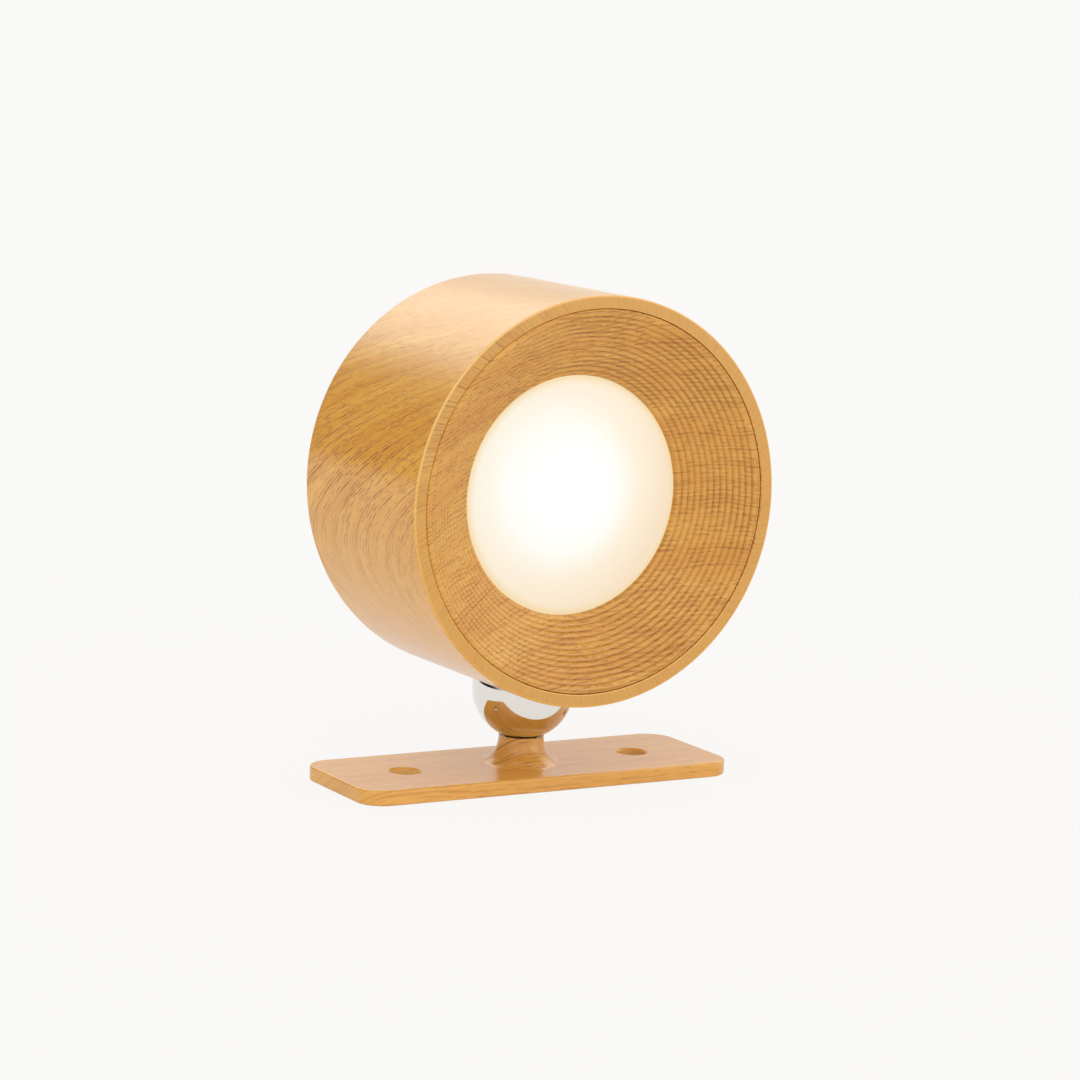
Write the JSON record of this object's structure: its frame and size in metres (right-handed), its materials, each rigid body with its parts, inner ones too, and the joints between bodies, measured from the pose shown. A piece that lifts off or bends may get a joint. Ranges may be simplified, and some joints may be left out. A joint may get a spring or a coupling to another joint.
{
  "type": "cordless wall light",
  "caption": "Cordless wall light: a round drum-shaped head with a ribbed reflector, held by a magnet on a polished steel ball that stands on a small wall plate.",
  "frame": {"origin": "middle of the wall plate's underside, straight under the ball", "axes": "+Z away from the surface that the plate is fixed to, -Y the way the head shines at rest, +X along the plate to the right as seen from the front"},
  "size_m": [0.096, 0.0528, 0.114],
  "materials": {
    "oak_film": "moulded plastic wrapped in a satin honey-oak grain film",
    "chrome_steel": "mirror polished steel",
    "zinc_steel": "zinc plated",
    "brass": "turned",
    "black_silicone": "matt",
    "nickel": "nickel plated",
    "black_abs": "moulded, fine matt grain",
    "white_abs": "moulded, matt",
    "frosted_acrylic": "opal, softly frosted",
    "white_aluminium": "white solder mask",
    "phosphor": "phosphor coated",
    "cell_wrap": "shrink-wrapped cell",
    "circuit_board": "glass-fibre board with green solder mask",
    "ferrite": "sintered",
    "clear_acrylic": "clear",
    "red_pvc": "wire insulation",
    "black_pvc": "wire insulation"
  },
  "bodies": {
    "base": {"base_plate": "oak_film", "neck_insert": "brass"},
    "ball": {"steel_ball": "chrome_steel", "ball_stud": "zinc_steel"},
    "liner": {"socket_liner": "black_silicone"},
    "head": {"housing_shell": "oak_film", "socket_magnet": "nickel", "magnet_cap": "black_abs", "magnet_screw_left": "zinc_steel", "magnet_screw_right": "zinc_steel", "reflector_ring": "oak_film", "diffuser": "frosted_acrylic", "light_box": "white_abs", "led_board": "white_aluminium", "led_chip_1": "phosphor", "led_chip_2": "phosphor", "led_chip_3": "phosphor", "led_chip_4": "phosphor", "led_chip_5": "phosphor", "led_chip_6": "phosphor", "chassis": "black_abs", "frame_screw_top": "zinc_steel", "frame_screw_left": "zinc_steel", "frame_screw_right": "zinc_steel", "battery_cell": "cell_wrap", "battery_lead_positive": "red_pvc", "battery_lead_negative": "black_pvc", "led_lead_positive": "red_pvc", "led_lead_negative": "black_pvc", "control_board": "circuit_board", "board_screw_left": "zinc_steel", "board_screw_right": "zinc_steel", "driver_chip": "black_abs", "inductor": "ferrite", "usb_c_socket": "nickel", "tact_switch": "black_abs", "status_light_pipe": "clear_acrylic", "status_led": "phosphor", "back_cover": "oak_film"},
    "button": {"power_button": "oak_film"}
  },
  "joints": [
    {"name": "head_swivel", "type": "hinge", "parent": "base", "child": "ball", "pos_m": [0, 0, 0.0207], "axis": [0, 0, 1], "continuous": true},
    {"name": "head_tilt", "type": "hinge", "parent": "ball", "child": "liner", "pos_m": [0, 0, 0.0207], "axis": [1, 0, 0], "range_deg": [-40, 30]},
    {"name": "head_lean", "type": "hinge", "parent": "liner", "child": "head", "pos_m": [0, 0, 0.0207], "axis": [0, 1, 0], "range_deg": [-20, 20]},
    {"name": "button_press", "type": "slide", "parent": "head", "child": "button", "axis": [0, -1, 0], "range_m": [0, 0.0005], "stiffness_N_per_m": 2000, "springref_m": -0.0003}
  ]
}
